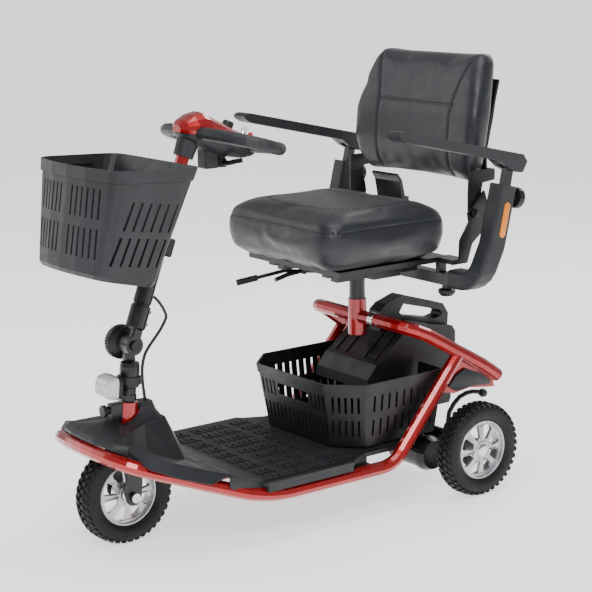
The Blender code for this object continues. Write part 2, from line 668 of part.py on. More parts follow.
def headlight():
    """Lamp on a ring round the lower coupling."""
    ring = lathe([(0.0219, 0.2400), (0.0260, 0.2400), (0.0260, 0.2560), (0.0219, 0.2560)], (0, 0, 0),
                 (0, 0, 1), 24)
    arm = box((-0.0080, -0.0400, 0.2420), (0.0080, -0.0236, 0.2540), 0.001)
    case = loft([[(u, y, 0.2360 + v) for u, v in rounded_rectangle(half_x, half_z, 0.010)]
                 for y, half_x, half_z in ((-0.0280, 0.0240, 0.0160), (-0.0350, 0.0330, 0.0225),
                                           (-0.0452, 0.0360, 0.0245))])
    part(union(ring, case, arm), "headlight_housing", "slate_plastic", frame=STEER)
    lens = loft([[(u, y, 0.2360 + v) for u, v in rounded_rectangle(half_x, half_z, 0.010)]
                 for y, half_x, half_z in ((-0.0455, 0.0355, 0.0240), (-0.0585, 0.0330, 0.0225),
                                           (-0.0680, 0.0250, 0.0180))])
    part(lens, "headlight_lens", "lamp_clear", frame=STEER)


def tyre_profile(width):
    half = width / 2
    r = WHEEL_RADIUS
    return [(r, -half * 0.66), (r, half * 0.66), (r - 0.006, half * 0.94), (r - 0.020, half),
            (RIM_RADIUS + 0.0008, half * 0.76),
            (RIM_RADIUS + 0.0008, -half * 0.76), (r - 0.020, -half), (r - 0.006, -half * 0.94)]


def wheel_rim(face, bore):
    """Eight-spoke rim drawn round the X axis; face is +1 or -1, the side its spokes are set towards."""
    barrel = 0.0190
    profile = [(RIM_RADIUS, -barrel), (RIM_RADIUS, barrel), (0.0645, barrel), (0.0620, 0.0135),
               (0.0230, 0.0165),
               (0.0180, 0.0225), (bore, 0.0225), (bore, -barrel), (0.0200, -barrel), (0.0220, 0.0050),
               (0.0620, 0.0030),
               (0.0650, -barrel)]
    rim = lathe(profile, (0, 0, 0), (1, 0, 0), 24)
    cutters = []
    for k in range(8):
        if k % 2:
            shape = [(0.0280, -0.0035), (0.0280, 0.0035), (0.0560, 0.0070), (0.0560, -0.0070)]
        else:
            shape = [(0.0270, -0.0060), (0.0270, 0.0060), (0.0400, 0.0140), (0.0550, 0.0120),
                     (0.0550, -0.0120), (0.0400, -0.0140)]
        turn = Matrix.Rotation(math.radians(45 * k + 10), 4, "X") @ side_frame(0.008)
        cutters.append(outline(shape, 0.05, turn))
    rim = cut(rim, *cutters)
    if face < 0:
        rim.data.transform(Matrix.Rotation(math.pi, 4, "Z"))
    return rim


def wheels():
    tyre = lathe(tyre_profile(WHEEL_WIDTH + 0.002), FRONT_AXLE, (1, 0, 0), 28)
    part(tyre, "front_tyre", "tyre_rubber", FRONT_AXLE)
    rim = wheel_rim(1, 0.0064)
    rim.data.transform(Matrix.Translation(FRONT_AXLE))
    part(rim, "front_rim", "rim_silver", FRONT_AXLE)
    for side, s in (("left", 1), ("right", -1)):
        centre = REAR_AXLE + Vector((s * REAR_TRACK / 2, 0, 0))
        part(lathe(tyre_profile(WHEEL_WIDTH), centre, (1, 0, 0), 28), f"rear_tyre_{side}", "tyre_rubber",
             centre)
        hub = lathe([(0, -0.0465), (0.0085, -0.0465), (0.0085, -0.0180), (0.0150, -0.0170),
                     (0.0150, 0.0230), (0.0080, 0.0250),
                     (0, 0.0255)], (0, 0, 0), (s, 0, 0), 16)
        rim = union(wheel_rim(s, 0.0120), hub)
        rim.data.transform(Matrix.Translation(centre))
        part(rim, f"rear_rim_{side}", "rim_silver", centre)


def fold_knob():
    """Ribbed hand knob whose bolt clamps the folding joint."""
    knob = lathe([(0, -0.0510), (0.0240, -0.0510), (0.0340, -0.0490), (0.0360, -0.0450), (0.0360, -0.0310),
                  (0.0330, -0.0260),
                  (0.0220, -0.0230), (0.0220, -0.0190), (0.0140, -0.0165), (0.0052, -0.0165),
                  (0.0052, 0.0185), (0.0110, 0.0186),
                  (0.0110, 0.0240), (0, 0.0240)], FOLD_PIVOT, (1, 0, 0), 24)
    part(knob, "fold_knob", "black_plastic", FOLD_PIVOT)


def tiller_joint():
    """Upper half of the folding joint, its clamp sleeve and the covered foot of the tiller."""
    eye = cylinder(0.0210, (0.0010, 0, 0), (0.0180, 0, 0), 28)
    neck = box((0.0014, -0.0120, 0.010), (0.0176, 0.0120, 0.040), 0.003)
    sleeve = lathe([(0.0158, 0.0480), (0.0158, 0.2600), (0.0198, 0.2600), (0.0198, 0.0920),
                    (0.0180, 0.0905), (0.0180, 0.0870),
                    (0.0215, 0.0855), (0.0215, 0.0390), (0.0170, 0.0330), (0.0040, 0.0330),
                    (0.0040, 0.0480)], (0, 0, 0), (0, 0, 1), 20)
    bolts = [cylinder(0.0040, (0, 0.018, t), (0, 0.0265, t), 10) for t in (0.0490, 0.0760)]
    pin = cylinder(0.0058, (-0.05, 0, 0), (0.05, 0, 0), 16)
    part(cut(union(eye, neck, sleeve, *bolts), pin), "tiller_joint", "black_metal", frame=TILLER)


def tiller_tube():
    part(tube([TILLER @ Vector((0, 0, t)) for t in (0.0490, 0.4280)], 0.0150), "tiller_tube", "frame_red")


def basket_bracket():
    """Clamp on the tiller with the plate that the front basket hooks on."""
    clamp = box((-0.0260, -0.0400, 0.2000), (0.0260, 0.0250, 0.2400), 0.003)
    arm = box((-0.0130, -0.0550, 0.2050), (0.0130, -0.0350, 0.2350))
    plate = box((-0.0450, -0.0570, 0.1600), (0.0450, -0.0530, 0.2500), 0.001)
    bore = cylinder(0.0202, (0, 0, 0.18), (0, 0, 0.27), 28)
    part(cut(union(clamp, arm, plate), bore), "basket_bracket", "black_plastic", frame=TILLER)


def handlebar_path():
    half = [(0.0000, -0.2050, 0.8700), (0.0500, -0.2020, 0.8695), (0.1050, -0.1900, 0.8665),
            (0.1550, -0.1670, 0.8600),
            (0.1800, -0.1380, 0.8510), (0.1840, -0.1120, 0.8430), (0.1660, -0.0920, 0.8390),
            (0.1200, -0.0800, 0.8370),
            (0.0600, -0.0740, 0.8330), (0.0000, -0.0720, 0.8310)]
    front = smooth_path(half, 2)
    return front + [Vector((-p.x, p.y, p.z)) for p in reversed(front[1:-1])]


def console():
    """Control head: a pod split into a lower housing and a painted cover, with the handlebar through it."""
    stations = [(-0.2400, 0.0150, 0.8700, 0.8880), (-0.2290, 0.0320, 0.8560, 0.8990),
                (-0.2090, 0.0440, 0.8410, 0.9085),
                (-0.1900, 0.0480, 0.8320, 0.9130), (-0.1780, 0.0485, 0.8270, 0.9090),
                (-0.1400, 0.0480, 0.8160, 0.8890),
                (-0.1110, 0.0455, 0.8085, 0.8730), (-0.0830, 0.0410, 0.8040, 0.8605),
                (-0.0600, 0.0340, 0.8060, 0.8535),
                (-0.0470, 0.0200, 0.8150, 0.8440)]

    def pod():
        sections = []
        for y, half_x, low, high in stations:
            loop = []
            for k in range(18):
                angle = 2 * math.pi * k / 18
                reach = 1 / (abs(math.cos(angle)) ** 2.4 + abs(math.sin(angle)) ** 2.4) ** (1 / 2.4)
                loop.append((math.cos(angle) * half_x * reach, y,
                             (low + high) / 2 + math.sin(angle) * (high - low) / 2 * reach))
            sections.append(loop)
        return loft(sections)

    def half_space(low, high):
        block = box((-0.1, -0.03, low), (0.1, 0.30, high))
        block.data.transform(leaning(math.radians(10), Vector((0, -0.2380, 0.8720))))
        return block

    def ring():
        return tube(handlebar_path(), 0.0143, 3, cyclic=True)

    neck = cylinder(0.0215, (0, -0.2262, 0.8185), (0, -0.2050, 0.8680), 24, 0.026)
    neck_bore = cylinder(0.0154, TILLER @ Vector((0, 0, 0.38)), TILLER @ Vector((0, 0, 0.4285)), 24)
    junction = box((-0.0165, -0.1800, 0.7890), (0.0165, -0.1440, 0.8350), 0.003)
    boss = cylinder(0.0100, (0, -0.1280, 0.8062), (0, -0.1280, 0.8300), 16)
    housing = union(pod(), neck, junction, boss)
    part(cut(housing, half_space(-GAP, 0.15), neck_bore, ring()), "console_housing", "slate_plastic")

    panel = {"dial": (0.0, -0.1130, 0.8700, 0.0135), "key": (0.0200, -0.0850, 0.8560, 0.0070),
             "horn": (0.0200, -0.0660, 0.8500, 0.0062)}
    up = Vector((0, math.sin(PANEL_LEAN), math.cos(PANEL_LEAN)))
    seats = [cylinder(radius, (x, y, z), Vector((x, y, z)) + up * 0.03, 20)
             for x, y, z, radius in panel.values()]
    part(cut(pod(), half_space(-0.15, 0), ring(), *seats), "console_cover", "frame_red")
    part(tube(handlebar_path(), 0.0138, 3, cyclic=True), "handlebar", "slate_plastic")

    def on_panel(key):
        return Vector(panel[key][:3]) + up * GAP

    dial = lathe([(0, 0), (0.0125, 0), (0.0125, 0.0140), (0.0110, 0.0165), (0, 0.0165)], on_panel("dial"),
                 up, 24)
    part(dial, "speed_dial", "black_plastic", on_panel("dial"))
    stem = cylinder(0.0045, on_panel("key"), on_panel("key") + up * 0.008, 12)
    bow = box((-0.0012, -0.007, 0.006), (0.0012, 0.007, 0.019))
    bow.data.transform(leaning(PANEL_LEAN, on_panel("key")))
    part(union(stem, bow), "ignition_key", "bright_steel", on_panel("key"))
    horn = lathe([(0, 0.0032), (0.0055, 0.0032), (0.0055, 0.0080), (0.0045, 0.0095), (0, 0.0100)],
                 on_panel("horn"), up, 16)
    part(horn, "horn_button", "button_red", on_panel("horn"))


def throttle_lever():
    """Wig-wag paddle under the console, pushed from either side."""
    centre = Vector((0, -0.1280, 0.7970))
    half = [(0, -0.1280, 0.7970), (0.030, -0.1270, 0.7995), (0.045, -0.1240, 0.8040),
            (0.060, -0.1190, 0.8070)]
    path = smooth_path([(-p[0], p[1], p[2]) for p in reversed(half[1:])] + half, 1)
    paddle = sweep(path, 0.0050, 0.0075, 0.002, side=(0, 0, 1))
    hub = cylinder(0.0120, centre + Vector((0, 0, -0.008)), centre + Vector((0, 0, 0.0088)), 20)
    part(union(paddle, hub), "throttle_lever", "black_plastic", centre)


def control_cable():
    """Loom from the back of the tiller down to the pylon behind the steering column."""
    route = [(-0.3095, 0.5270), (-0.2950, 0.5110), (-0.2830, 0.4900), (-0.2810, 0.4760), (-0.2970, 0.4520),
             (-0.3180, 0.4290),
             (-0.3340, 0.4100), (-0.3420, 0.3890), (-0.3450, 0.3680), (-0.3440, 0.3390), (-0.3400, 0.3056)]
    part(tube(smooth_path([(0, y, z) for y, z in route], 2), 0.0033, 1), "control_cable", "black_plastic")


# ---------------------------------------------------------------- seat
def seat_column():
    post = cylinder(POST_RADIUS, (0, POST_Y, 0.3880), (0, POST_Y, 0.5000), 28)
    part(post, "seat_post", "black_metal", (0, POST_Y, 0.447))
    hub = cylinder(0.0300, (0, POST_Y, 0.5000 + GAP), (0, POST_Y, 0.5120), 28)
    plate = box((-0.0700, POST_Y - 0.050, 0.5110), (0.0700, POST_Y + 0.050, 0.5200))
    rails = [box((x - 0.012, 0.100, 0.5190), (x + 0.012, 0.335, 0.5320)) for x in (-0.100, 0.100)]
    arms = [box((min(x, 0.6 * x), POST_Y - 0.040, 0.5110), (max(x, 0.6 * x), POST_Y + 0.040, 0.5200))
            for x in (-0.108, 0.108)]
    part(union(hub, plate, *rails, *arms), "swivel_plate", "black_metal", (0, POST_Y, 0.5003))
    root = Vector((-0.0750, 0.2150, 0.5035))
    rod = tube(rounded_path([(root, 0), ((-0.118, 0.162, 0.5040), 0.03), ((-0.1350, 0.1400, 0.5060), 0.03),
                             ((-0.1800, 0.0300, 0.4840), 0)], 3), 0.0045, 2)
    grip = cylinder(0.0075, (-0.1610, 0.0760, 0.4932), (-0.1800, 0.0300, 0.4840), 12)
    eye = cylinder(0.0080, root - Vector((0, 0, 0.006)), root + Vector((0, 0, 0.006)), 14)
    part(union(rod, grip, eye), "swivel_lever", "black_plastic", root)
    root = Vector((-0.0800, 0.1500, 0.5130))
    rod = tube([root, Vector((-0.0800, 0.1050, 0.5090)), Vector((-0.0800, 0.0700, 0.5010))], 0.0055, 2)
    eye = cylinder(0.0085, root - Vector((0.006, 0, 0)), root + Vector((0.006, 0, 0)), 14)
    part(union(rod, eye), "slide_lever", "black_plastic", root)


def seat():
    """Seat pan on its sliding rails, the tube that takes the armrest brackets, and the backrest hinge ears."""
    pan = box((-0.1700, 0.0600, 0.5433), (0.1700, 0.3780, 0.5552))
    riders = [box((x - 0.012, 0.075, 0.5323), (x + 0.012, 0.360, 0.5440)) for x in (-0.100, 0.100)]
    receiver = box((-0.2020, RECEIVER_Y - 0.0135, RECEIVER_Z - 0.0135),
                   (0.2020, RECEIVER_Y + 0.0135, RECEIVER_Z + 0.0135))
    drops = [box((x - 0.006, RECEIVER_Y - 0.011, 0.5150), (x + 0.006, RECEIVER_Y + 0.011, 0.5450))
             for x in (-0.160, 0.160)]
    ear = [(0.3450, 0.5440), (0.3900, 0.5440), (0.4050, 0.5870), (0.4330, 0.6090), (0.4480, 0.6300),
           (0.4540, 0.6570),
           (0.4500, 0.6810), (0.4410, 0.7050), (0.3910, 0.6570), (0.3950, 0.6380), (0.3830, 0.6190),
           (0.3680, 0.5980),
           (0.3660, 0.5550), (0.3450, 0.5550)]
    ears = []
    for s in (1, -1):
        ears.append(outline(ear, 0.005, side_frame(s * 0.2190)))
        ears.append(box((min(s * 0.160, s * 0.2215), 0.3460, 0.5440),
                        (max(s * 0.160, s * 0.2215), 0.3890, 0.5549)))
    cover = [(0.3500, 0.5440), (0.4000, 0.5440), (0.4400, 0.5680), (0.4780, 0.5950), (0.4950, 0.6130),
             (0.4980, 0.6490),
             (0.4850, 0.6530), (0.4760, 0.6910), (0.4630, 0.7080), (0.4580, 0.7040), (0.4680, 0.6880),
             (0.4760, 0.6470),
             (0.4740, 0.6200), (0.4500, 0.5960), (0.4200, 0.5780), (0.3950, 0.5549), (0.3500, 0.5549)]
    mechanism = outline(cover, 0.095, side_frame(-0.1530))
    base = union(pan, receiver, mechanism, *riders, *drops, *ears)
    hollow = box((-0.23, RECEIVER_Y - 0.0105, RECEIVER_Z - 0.0105),
                 (0.23, RECEIVER_Y + 0.0105, RECEIVER_Z + 0.0105))
    screws = [cylinder(0.0049, (s * 0.180, RECEIVER_Y, 0.47), (s * 0.180, RECEIVER_Y, 0.500), 16)
              for s in (1, -1)]
    pivot = cylinder(0.0062, (-0.23, BACK_PIVOT.y, BACK_PIVOT.z), (0.23, BACK_PIVOT.y, BACK_PIVOT.z), 16)
    part(cut(base, hollow, pivot, *screws), "seat_base", "black_metal", (0, 0.23, 0.5323))
    levels = ((0.5558, 0.160, 0.045, 0.330, 0.030), (0.5750, 0.200, 0.012, 0.352, 0.045),
              (0.6100, 0.211, 0.004, 0.360, 0.050),
              (0.6450, 0.211, 0.005, 0.360, 0.050), (0.6680, 0.203, 0.014, 0.350, 0.050),
              (0.6800, 0.175, 0.040, 0.320, 0.045),
              (0.6840, 0.130, 0.080, 0.280, 0.040))
    cushion = loft([[(u, (front + back) / 2 + v, z)
                     for u, v in rounded_rectangle(half_x, (back - front) / 2, r, 4)]
                    for z, half_x, front, back, r in levels])
    part(cushion, "seat_cushion", "vinyl")


def backrest():
    """Folding backrest: a shell with two hinge arms, and a cushion that is hollowed across its front."""
    arm = [(0.3990, 0.6500), (0.4110, 0.6400), (0.4230, 0.6500), (0.4330, 0.6850), (0.4410, 0.7220),
           (0.4785, 0.7260),
           (0.4785, 0.7510), (0.4010, 0.7510), (0.3990, 0.7000)]
    arms = []
    for s in (1, -1):
        arms.append(outline(arm, 0.0055, side_frame(s * 0.2128)))
        arms.append(cylinder(0.0058, (s * 0.2110, BACK_PIVOT.y, BACK_PIVOT.z),
                             (s * 0.2235, BACK_PIVOT.y, BACK_PIVOT.z), 16))
    bar = box((-0.2150, 0.4735, 0.7380), (0.2150, 0.4783, 0.7510))
    rear = [(0.4735, 0.7400), (0.4725, 0.8000), (0.4895, 0.8700), (0.5105, 0.9500), (0.5155, 0.9490),
            (0.4945, 0.8680),
            (0.4775, 0.7990), (0.4785, 0.7400)]
    shell = outline(rear, 0.380, side_frame(0))
    part(union(shell, bar, *arms), "back_frame", "black_plastic", BACK_PIVOT)
    levels = ((0.7150, 0.182, 0.4380, 0.4600), (0.7350, 0.199, 0.4200, 0.4720),
              (0.7600, 0.210, 0.4120, 0.4715),
              (0.8000, 0.220, 0.4070, 0.4700), (0.8700, 0.220, 0.4130, 0.4870),
              (0.9500, 0.207, 0.4370, 0.5080),
              (0.9900, 0.195, 0.4550, 0.5180), (1.0120, 0.178, 0.4720, 0.5140))
    cushion = loft([[(x, y, z) for x, y in bowed_loop(half_x, front, back, (back - front) * 0.45, -0.014)]
                    for z, half_x, front, back in levels])
    part(cushion, "backrest_cushion", "vinyl", BACK_PIVOT)


def armrests():
    for side, s in (("left", 1), ("right", -1)):
        arm = leaning(ARM_LEAN, Vector((s * ARM_X, ARM_PIVOT.y, ARM_PIVOT.z)))
        foot, tip = s * 0.060, s * 0.236
        insert = box((min(foot, tip), RECEIVER_Y - 0.0100, RECEIVER_Z - 0.0100),
                     (max(foot, tip), RECEIVER_Y + 0.0100, RECEIVER_Z + 0.0100))
        bend = sweep(rounded_path([(Vector((s * 0.206, RECEIVER_Y + 0.002, 0.510)), 0),
                                   ((s * ARM_X, 0.368, 0.510), 0.036),
                                   ((s * ARM_X, 0.4085, 0.590), 0.05),
                                   (arm @ Vector((0, -0.005, -0.0480)), 0)], 4),
                     0.0240, 0.0210, 0.006, side=(0, 1, 0))
        pocket = box((-0.0084, -0.0114, -0.150), (0.0084, 0.0114, 0.02))
        pocket.data.transform(arm)
        thread = cylinder(0.0049, arm @ Vector((0, 0.010, -0.0720)), arm @ Vector((0, 0.04, -0.0720)), 16)
        part(cut(union(bend, insert), pocket, thread), f"arm_bracket_{side}", "slate_plastic",
             (s * ARM_X, 0.368, 0.510))

        post = union(box((-0.0080, -0.0110, -0.1200), (0.0080, 0.0110, -0.0160)),
                     box((-0.0080, -0.0088, -0.0170), (0.0080, 0.0088, 0)),
                     cylinder(0.0090, (-0.0080, 0, 0), (0.0080, 0, 0), 20))
        hole = cylinder(0.0046, (-0.05, 0, 0), (0.05, 0, 0), 16)
        part(cut(post, hole), f"arm_post_{side}", "black_metal", frame=arm)

        side_view = [(-0.3450, 0.0080), (-0.3520, 0.0140), (-0.3450, 0.0215), (-0.3350, 0.0250),
                     (0.0200, 0.0260), (0.0350, 0.0120),
                     (0.0260, -0.0140), (0.0050, -0.0160), (-0.0180, -0.0100), (-0.0450, 0.0030),
                     (-0.3300, 0.0030)]
        fork_gap = box((-0.0086, -0.0300, -0.0300), (0.0086, 0.0600, 0.0118))
        pad = cut(outline(side_view, 0.046, side_frame(0)), fork_gap)
        pin = cylinder(0.0042, (-0.0180, 0, 0), (0.0180, 0, 0), 16)
        part(union(pad, pin), f"armrest_{side}", "slate_plastic", frame=arm)

        back = (arm.to_3x3() @ Vector((0, 1, 0))).normalized()
        stem = arm @ Vector((0, 0, -0.0720)) + back * 0.0118
        knob = lathe([(0, 0), (0.0045, 0), (0.0045, 0.0078), (0.0110, 0.0082), (0.0110, 0.0200),
                      (0.0225, 0.0215), (0.0240, 0.0240),
                      (0.0240, 0.0350), (0.0200, 0.0390), (0, 0.0390)], stem, back, 16)
        part(knob, f"height_knob_{side}", "black_plastic", stem)
        screw = Vector((s * 0.180, RECEIVER_Y, RECEIVER_Z - 0.0103))
        knob = lathe([(0, 0), (0.0045, 0), (0.0045, 0.0034), (0.0110, 0.0036), (0.0110, 0.0110),
                      (0.0200, 0.0150), (0.0200, 0.0220),
                      (0.0140, 0.0290), (0, 0.0310)], screw, (0, 0, -1), 16)
        part(knob, f"width_knob_{side}", "black_plastic", screw)


def build():
    for make in (lower_frame, upper_frame, frame_beam, steering_lock, deck, nose_fairing, tiller_shroud,
                 drive, freewheel_lever,
                 anti_tip, battery_pack, rear_basket, front_basket, fork, lower_coupling, headlight,
                 wheels, fold_knob,
                 tiller_joint, tiller_tube, basket_bracket, console, throttle_lever, control_cable,
                 seat_column, seat,
                 backrest, armrests):
        make()
    for obj in SCOOTER.objects:
        obj.matrix_world = Matrix.Translation((0, CENTRE_SHIFT, 0)) @ obj.matrix_world


clear_scene()
SCOOTER = bpy.data.collections.new("mobility_scooter")
bpy.context.scene.collection.children.link(SCOOTER)
build()
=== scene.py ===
"""Looks of a three-wheel travel mobility scooter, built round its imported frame.  Metres, +Z up."""
import json
import math

import bmesh
import bpy
from mathutils import Matrix, Vector


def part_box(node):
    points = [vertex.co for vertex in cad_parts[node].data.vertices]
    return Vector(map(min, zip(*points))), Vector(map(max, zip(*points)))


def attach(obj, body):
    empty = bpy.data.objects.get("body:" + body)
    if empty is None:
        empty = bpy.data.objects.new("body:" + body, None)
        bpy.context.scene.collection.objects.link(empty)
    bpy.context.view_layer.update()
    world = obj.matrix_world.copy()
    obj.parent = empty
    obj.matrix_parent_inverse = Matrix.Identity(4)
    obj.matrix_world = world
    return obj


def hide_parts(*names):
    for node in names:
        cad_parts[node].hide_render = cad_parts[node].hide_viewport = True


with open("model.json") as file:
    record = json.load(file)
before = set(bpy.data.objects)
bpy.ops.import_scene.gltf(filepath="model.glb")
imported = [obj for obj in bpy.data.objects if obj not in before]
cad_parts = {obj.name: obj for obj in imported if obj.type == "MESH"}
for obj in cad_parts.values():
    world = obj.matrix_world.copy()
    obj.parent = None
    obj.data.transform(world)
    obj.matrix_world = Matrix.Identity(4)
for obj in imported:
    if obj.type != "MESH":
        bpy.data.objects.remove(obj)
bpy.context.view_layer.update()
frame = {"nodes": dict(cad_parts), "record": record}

NODES = frame["nodes"]
SLOT_OF = {s["node"]: s["material_slot"] for s in frame["record"]["subparts"]}

SIDES = (("left", 1), ("right", -1))
# outlines below that add this are laid out along Y from the middle of the wheelbase
CENTRE_SHIFT = 0.0059
HINGE = next(j["pos_m"] for j in frame["record"]["behaviour"]["joints"] if j["name"] == "backrest_fold")

# camera
CAMERA_AT = Vector((2.9022, -2.0984, 1.2460))
CAMERA_AZIMUTH = math.radians(53.18)
CAMERA_ELEVATION = math.radians(11.99)
CAMERA_ROLL = math.radians(-0.82)
CAMERA_LENS = 99.3

# wheels
TREAD_BLOCKS = 40
TREAD_DEPTH = 0.0050
TYRE_BORE = 0.0698
SPOKES = 8
PLATE_RADIUS = 0.0640
PLATE_DISH = 0.0060
PLATE_OUT = 0.0075
WHEEL_STEPS = 96
REAR_WHEEL_X = 0.248

# cushions: how far the simulation may move a point, the remesh size, and the seams
CUSHION_CAP = 0.006
VOXEL = 0.006
CLOTH_FRAMES = 20
SEAM_WIDTH = 0.0042
SEAM_DEPTH = 0.0026
THREAD_RADIUS = 0.0008

FLOOR_HALF_SIZE = 150


# ---------------------------------------------------------------- materials
class Shade:
    """A Principled material whose colour, roughness and bump come from nodes."""

    def __init__(self, name, **sockets):
        self.material = bpy.data.materials.new(name)
        self.material.use_nodes = True
        self.tree = self.material.node_tree
        self.shader = self.tree.nodes["Principled BSDF"]
        for socket, value in sockets.items():
            self.shader.inputs[socket.replace("_", " ")].default_value = value
        self.place = self.node("ShaderNodeTexCoord").outputs["Object"]
        self.height = None

    def node(self, kind):
        return self.tree.nodes.new(kind)

    def link(self, a, b):
        self.tree.links.new(a, b)

    def noise(self, scale, detail=3.0):
        made = self.node("ShaderNodeTexNoise")
        made.inputs["Scale"].default_value = scale
        made.inputs["Detail"].default_value = detail
        made.inputs["Roughness"].default_value = 0.55
        self.link(self.place, made.inputs["Vector"])
        return made.outputs["Fac"]

    def cells(self, scale):
        made = self.node("ShaderNodeTexVoronoi")
        made.inputs["Scale"].default_value = scale
        self.link(self.place, made.inputs["Vector"])
        return made.outputs["Distance"]

    def ramp(self, value, low, high):
        made = self.node("ShaderNodeMapRange")
        self.link(value, made.inputs["Value"])
        made.inputs["From Min"].default_value = 0.3
        made.inputs["From Max"].default_value = 0.7
        made.inputs["To Min"].default_value = low
        made.inputs["To Max"].default_value = high
        return made.outputs["Result"]

    def colour(self, value, dark, light):
        made = self.node("ShaderNodeValToRGB")
        made.color_ramp.elements[0].position = 0.32
        made.color_ramp.elements[0].color = (*dark, 1)
        made.color_ramp.elements[1].position = 0.72
        made.color_ramp.elements[1].color = (*light, 1)
        self.link(value, made.inputs["Fac"])
        self.link(made.outputs["Color"], self.shader.inputs["Base Color"])

    def roughness(self, value, low, high):
        self.link(self.ramp(value, low, high), self.shader.inputs["Roughness"])

    def bump(self, value, depth, strength=0.6):
        made = self.node("ShaderNodeBump")
        made.inputs["Strength"].default_value = strength
        made.inputs["Distance"].default_value = depth
        self.link(value, made.inputs["Height"])
        if self.height:
            self.link(self.height, made.inputs["Normal"])
        self.height = made.outputs["Normal"]
        self.link(self.height, self.shader.inputs["Normal"])


def tinted(base, share):
    return tuple(min(1.0, channel * share) for channel in base)


def candy_paint():
    """Red paint with metal flake under a clear coat."""
    made = Shade("frame_paint", Metallic=0.55, Coat_Weight=1.0, Coat_Roughness=0.03)
    made.colour(made.noise(5.0), (0.30, 0.0003, 0.0008), (0.47, 0.0015, 0.0025))
    made.roughness(made.noise(420.0, 1.0), 0.20, 0.34)
    made.bump(made.cells(2600.0), 0.00004, 0.25)
    return made.material


def moulded(name, base, grain, rough, depth):
    """Moulded plastic with a fine spark grain and slight unevenness of colour."""
    made = Shade(name, Specular_IOR_Level=0.45)
    made.colour(made.noise(9.0), tinted(base, 0.82), tinted(base, 1.2))
    made.roughness(made.noise(34.0), rough - 0.07, rough + 0.09)
    made.bump(made.cells(grain), depth, 0.5)
    made.bump(made.noise(14.0), 0.0003, 0.12)
    return made.material


def powder_coat():
    made = Shade("powder_coat", Metallic=0.25, Coat_Weight=0.25, Coat_Roughness=0.2)
    made.colour(made.noise(20.0), (0.0045, 0.0045, 0.0055), (0.0110, 0.0110, 0.0125))
    made.roughness(made.noise(60.0), 0.26, 0.42)
    made.bump(made.noise(900.0, 2.0), 0.00008, 0.4)
    return made.material


def rubber(name, base, rough):
    made = Shade(name, Specular_IOR_Level=0.35)
    made.colour(made.noise(26.0), tinted(base, 0.75), tinted(base, 1.35))
    made.roughness(made.noise(70.0), rough - 0.08, rough + 0.08)
    made.bump(made.noise(700.0, 4.0), 0.00025, 0.5)
    return made.material


def silver_paint():
    made = Shade("wheel_silver", Metallic=0.78, Coat_Weight=0.3, Coat_Roughness=0.15)
    made.colour(made.noise(16.0), (0.42, 0.43, 0.45), (0.66, 0.67, 0.69))
    made.roughness(made.noise(90.0), 0.26, 0.38)
    made.bump(made.cells(2200.0), 0.00004, 0.25)
    return made.material


def vinyl():
    """Embossed vinyl: a pebble of cells with finer creases, and a soft sheen."""
    made = Shade("vinyl", Specular_IOR_Level=0.5, Sheen_Weight=0.12, Sheen_Roughness=0.5)
    made.colour(made.noise(6.0), (0.0075, 0.0090, 0.0125), (0.0125, 0.0148, 0.0200))
    made.roughness(made.noise(40.0), 0.34, 0.48)
    made.bump(made.cells(620.0), 0.00022, 0.45)
    made.bump(made.noise(60.0, 4.0), 0.0005, 0.22)
    return made.material


def plated():
    made = Shade("plated_steel", Metallic=1.0)
    made.colour(made.noise(30.0), (0.62, 0.62, 0.63), (0.82, 0.82, 0.83))
    made.roughness(made.noise(140.0), 0.12, 0.24)
    made.bump(made.noise(1200.0), 0.00002, 0.2)
    return made.material


def clear_lamp():
    made = Shade("lamp_clear", Transmission_Weight=0.35, IOR=1.46, Coat_Weight=1.0)
    made.colour(made.noise(60.0), (0.74, 0.77, 0.82), (0.93, 0.95, 0.98))
    made.roughness(made.noise(80.0), 0.05, 0.14)
    made.bump(made.cells(160.0), 0.0005, 0.35)
    return made.material


def glossy(name, base):
    made = Shade(name, Coat_Weight=0.8, Coat_Roughness=0.08)
    made.colour(made.noise(40.0), tinted(base, 0.85), tinted(base, 1.1))
    made.roughness(made.noise(90.0), 0.22, 0.34)
    made.bump(made.noise(500.0), 0.00005, 0.3)
    return made.material


def reflector():
    """Amber reflector with the small cells of a moulded prism sheet."""
    made = Shade("reflector_amber", Coat_Weight=0.2, Coat_Roughness=0.05)
    made.colour(made.noise(80.0), (0.90, 0.22, 0.0), (1.0, 0.30, 0.0))
    made.roughness(made.noise(90.0), 0.18, 0.3)
    made.bump(made.cells(420.0), 0.0004, 0.5)
    return made.material


LOOKS = {
    "frame_red": candy_paint(),
    "slate_plastic": moulded("slate_moulding", (0.0175, 0.0195, 0.0230), 1500.0, 0.46, 0.00012),
    "black_plastic": moulded("black_moulding", (0.0065, 0.0070, 0.0080), 1700.0, 0.40, 0.0001),
    "black_metal": powder_coat(),
    "deck_rubber": rubber("mat_rubber", (0.0170, 0.0185, 0.0215), 0.55),
    "tyre_rubber": rubber("tyre_rubber", (0.0060, 0.0060, 0.0065), 0.58),
    "rim_silver": silver_paint(),
    "vinyl": vinyl(),
    "bright_steel": plated(),
    "lamp_clear": clear_lamp(),
    "button_red": glossy("button_red", (0.62, 0.015, 0.012)),
}
THREAD = rubber("seam_thread", (0.004, 0.0045, 0.0055), 0.7)


# ---------------------------------------------------------------- mesh helpers
def new_object(bm, name):
    bmesh.ops.recalc_face_normals(bm, faces=bm.faces)
    mesh = bpy.data.meshes.new(name)
    bm.to_mesh(mesh)
    bm.free()
    made = bpy.data.objects.new(name, mesh)
    bpy.context.scene.collection.objects.link(made)
    return made


def applied(obj):
    """The object with its modifiers made part of its mesh."""
    bpy.context.view_layer.update()
    graph = bpy.context.evaluated_depsgraph_get()
    mesh = bpy.data.meshes.new_from_object(obj.evaluated_get(graph))
    obj.modifiers.clear()
    obj.data = mesh
    return obj


